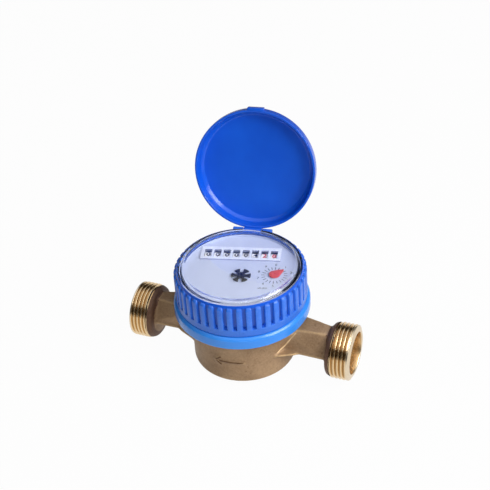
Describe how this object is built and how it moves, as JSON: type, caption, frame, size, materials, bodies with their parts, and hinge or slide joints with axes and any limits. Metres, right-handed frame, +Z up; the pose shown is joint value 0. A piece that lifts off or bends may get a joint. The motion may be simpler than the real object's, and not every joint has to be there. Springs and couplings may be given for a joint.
{
  "type": "water meter",
  "caption": "Brass water meter with threaded ends, a blue ribbed register under a clear lens and a hinged blue lid standing open over the dial.",
  "frame": {"origin": "centre of the foot, under the register's axis", "axes": "+X along the pipe towards the inlet, +Z up along the register's axis"},
  "size_m": [0.11, 0.0862, 0.1063],
  "materials": {
    "cast_brass": "sand-cast, matte, with bright turned ends",
    "turned_brass": "turned",
    "steel": "drawn",
    "moulded_cream": "moulded",
    "jewel": "polished",
    "magnet": "sintered",
    "seal_rubber": "moulded",
    "light_blue": "satin moulded",
    "deep_blue": "satin moulded",
    "register_white": "moulded",
    "clear_lens": "clear polished",
    "star_black": "moulded",
    "pointer_red": "moulded",
    "digit_white": "moulded"
  },
  "bodies": {
    "meter": {"meter_body": "cast_brass", "inlet_strainer": "moulded_cream", "impeller_pivot": "steel", "pressure_plate": "moulded_cream", "upper_pivot": "steel", "chamber_seal": "seal_rubber", "lock_ring": "cast_brass", "base_ring": "light_blue"},
    "rotor": {"impeller": "moulded_cream", "pivot_jewel": "jewel", "impeller_magnet": "magnet"},
    "register": {"register_can": "register_white", "shield_ring": "steel", "ribbed_ring": "deep_blue", "lens_gasket": "register_white", "lens": "clear_lens", "dial_plate": "register_white", "bridge_plate": "register_white", "bridge_screws": "steel", "counter_frame": "register_white", "roller_shaft": "steel", "pinion_shaft": "steel", "hinge_pin": "steel"},
    "cover": {"lid": "deep_blue"},
    "spindle": {"drive_spindle": "turned_brass", "drive_magnet": "magnet"},
    "star": {"star_arbor": "moulded_cream", "star_wheel": "star_black"},
    "first_train": {"first_wheel": "moulded_cream"},
    "second_train": {"second_wheel": "moulded_cream"},
    "hand": {"pointer_arbor": "moulded_cream", "pointer": "pointer_red"},
    "transfer": {"transfer_worm": "moulded_cream"},
    "digit_8": {"digit_wheel_8": "digit_white"},
    "digit_7": {"digit_wheel_7": "digit_white"},
    "carry_7": {"carry_pinion_7": "moulded_cream"},
    "digit_6": {"digit_wheel_6": "digit_white"},
    "carry_6": {"carry_pinion_6": "moulded_cream"},
    "digit_5": {"digit_wheel_5": "digit_white"},
    "carry_5": {"carry_pinion_5": "moulded_cream"},
    "digit_4": {"digit_wheel_4": "digit_white"},
    "carry_4": {"carry_pinion_4": "moulded_cream"},
    "digit_3": {"digit_wheel_3": "digit_white"},
    "carry_3": {"carry_pinion_3": "moulded_cream"},
    "digit_2": {"digit_wheel_2": "digit_white"},
    "carry_2": {"carry_pinion_2": "moulded_cream"},
    "digit_1": {"digit_wheel_1": "digit_white"},
    "carry_1": {"carry_pinion_1": "moulded_cream"}
  },
  "joints": [
    {"name": "impeller_spin", "type": "hinge", "parent": "meter", "child": "rotor", "pos_m": [0, 0, 0.015], "axis": [0, 0, 1], "continuous": true},
    {"name": "register_swivel", "type": "hinge", "parent": "meter", "child": "register", "pos_m": [0, 0, 0.0352], "axis": [0, 0, 1], "continuous": true},
    {"name": "lid_hinge", "type": "hinge", "parent": "register", "child": "cover", "pos_m": [-0.00467, 0.02882, 0.0506], "axis": [0.9871, 0.1599, 0], "range_deg": [-8, 107.5]},
    {"name": "spindle_spin", "type": "hinge", "parent": "register", "child": "spindle", "pos_m": [0, 0, 0.04], "axis": [0, 0, 1], "continuous": true},
    {"name": "star_spin", "type": "hinge", "parent": "register", "child": "star", "pos_m": [0.00182, -0.00356, 0.04], "axis": [0, 0, 1], "continuous": true},
    {"name": "first_spin", "type": "hinge", "parent": "register", "child": "first_train", "pos_m": [0.00637, -0.01133, 0.04], "axis": [0, 0, 1], "continuous": true},
    {"name": "second_spin", "type": "hinge", "parent": "register", "child": "second_train", "pos_m": [0.01436, -0.0072, 0.04], "axis": [0, 0, 1], "continuous": true},
    {"name": "pointer_spin", "type": "hinge", "parent": "register", "child": "hand", "pos_m": [0.01608, 0.00164, 0.04], "axis": [0, 0, 1], "continuous": true},
    {"name": "transfer_spin", "type": "hinge", "parent": "register", "child": "transfer", "pos_m": [0.01521, 0.0116, 0.04], "axis": [0, 0, 1], "continuous": true},
    {"name": "digit_8_spin", "type": "hinge", "parent": "register", "child": "digit_8", "pos_m": [0.01093, 0.01571, 0.04405], "axis": [0.9703, 0.2419, 0], "continuous": true},
    {"name": "digit_7_spin", "type": "hinge", "parent": "register", "child": "digit_7", "pos_m": [0.00664, 0.01464, 0.04405], "axis": [0.9703, 0.2419, 0], "continuous": true},
    {"name": "carry_7_spin", "type": "hinge", "parent": "register", "child": "carry_7", "pos_m": [0.00853, 0.01511, 0.03957], "axis": [0.9703, 0.2419, 0], "continuous": true},
    {"name": "digit_6_spin", "type": "hinge", "parent": "register", "child": "digit_6", "pos_m": [0.00234, 0.01357, 0.04405], "axis": [0.9703, 0.2419, 0], "continuous": true},
    {"name": "carry_6_spin", "type": "hinge", "parent": "register", "child": "carry_6", "pos_m": [0.00423, 0.01404, 0.03957], "axis": [0.9703, 0.2419, 0], "continuous": true},
    {"name": "digit_5_spin", "type": "hinge", "parent": "register", "child": "digit_5", "pos_m": [-0.00196, 0.0125, 0.04405], "axis": [0.9703, 0.2419, 0], "continuous": true},
    {"name": "carry_5_spin", "type": "hinge", "parent": "register", "child": "carry_5", "pos_m": [-0.00007, 0.01297, 0.03957], "axis": [0.9703, 0.2419, 0], "continuous": true},
    {"name": "digit_4_spin", "type": "hinge", "parent": "register", "child": "digit_4", "pos_m": [-0.00626, 0.01142, 0.04405], "axis": [0.9703, 0.2419, 0], "continuous": true},
    {"name": "carry_4_spin", "type": "hinge", "parent": "register", "child": "carry_4", "pos_m": [-0.00437, 0.0119, 0.03957], "axis": [0.9703, 0.2419, 0], "continuous": true},
    {"name": "digit_3_spin", "type": "hinge", "parent": "register", "child": "digit_3", "pos_m": [-0.01056, 0.01035, 0.04405], "axis": [0.9703, 0.2419, 0], "continuous": true},
    {"name": "carry_3_spin", "type": "hinge", "parent": "register", "child": "carry_3", "pos_m": [-0.00867, 0.01082, 0.03957], "axis": [0.9703, 0.2419, 0], "continuous": true},
    {"name": "digit_2_spin", "type": "hinge", "parent": "register", "child": "digit_2", "pos_m": [-0.01486, 0.00928, 0.04405], "axis": [0.9703, 0.2419, 0], "continuous": true},
    {"name": "carry_2_spin", "type": "hinge", "parent": "register", "child": "carry_2", "pos_m": [-0.01296, 0.00975, 0.03957], "axis": [0.9703, 0.2419, 0], "continuous": true},
    {"name": "digit_1_spin", "type": "hinge", "parent": "register", "child": "digit_1", "pos_m": [-0.01916, 0.00821, 0.04405], "axis": [0.9703, 0.2419, 0], "continuous": true},
    {"name": "carry_1_spin", "type": "hinge", "parent": "register", "child": "carry_1", "pos_m": [-0.01726, 0.00868, 0.03957], "axis": [0.9703, 0.2419, 0], "continuous": true}
  ],
  "couplings": [
    {"joint": "spindle_spin", "follows": "impeller_spin", "ratio": 1},
    {"joint": "star_spin", "follows": "impeller_spin", "ratio": -0.6},
    {"joint": "first_spin", "follows": "impeller_spin", "ratio": 0.12},
    {"joint": "second_spin", "follows": "impeller_spin", "ratio": -0.024},
    {"joint": "pointer_spin", "follows": "impeller_spin", "ratio": 0.0048},
    {"joint": "transfer_spin", "follows": "impeller_spin", "ratio": -0.0048},
    {"joint": "digit_8_spin", "follows": "impeller_spin", "ratio": -0.00048},
    {"joint": "digit_7_spin", "follows": "impeller_spin", "ratio": -0.000048},
    {"joint": "carry_7_spin", "follows": "impeller_spin", "ratio": 0.00012},
    {"joint": "carry_6_spin", "follows": "digit_6_spin", "ratio": -2.5},
    {"joint": "digit_5_spin", "follows": "digit_6_spin", "ratio": 0.1},
    {"joint": "carry_5_spin", "follows": "digit_6_spin", "ratio": -0.25},
    {"joint": "digit_4_spin", "follows": "digit_6_spin", "ratio": 0.01},
    {"joint": "carry_4_spin", "follows": "digit_6_spin", "ratio": -0.025},
    {"joint": "digit_3_spin", "follows": "digit_6_spin", "ratio": 0.001},
    {"joint": "carry_3_spin", "follows": "digit_6_spin", "ratio": -0.0025},
    {"joint": "digit_2_spin", "follows": "digit_6_spin", "ratio": 0.0001},
    {"joint": "carry_2_spin", "follows": "digit_6_spin", "ratio": -0.00025},
    {"joint": "digit_1_spin", "follows": "digit_6_spin", "ratio": 0.00001},
    {"joint": "carry_1_spin", "follows": "digit_6_spin", "ratio": -0.000025}
  ]
}
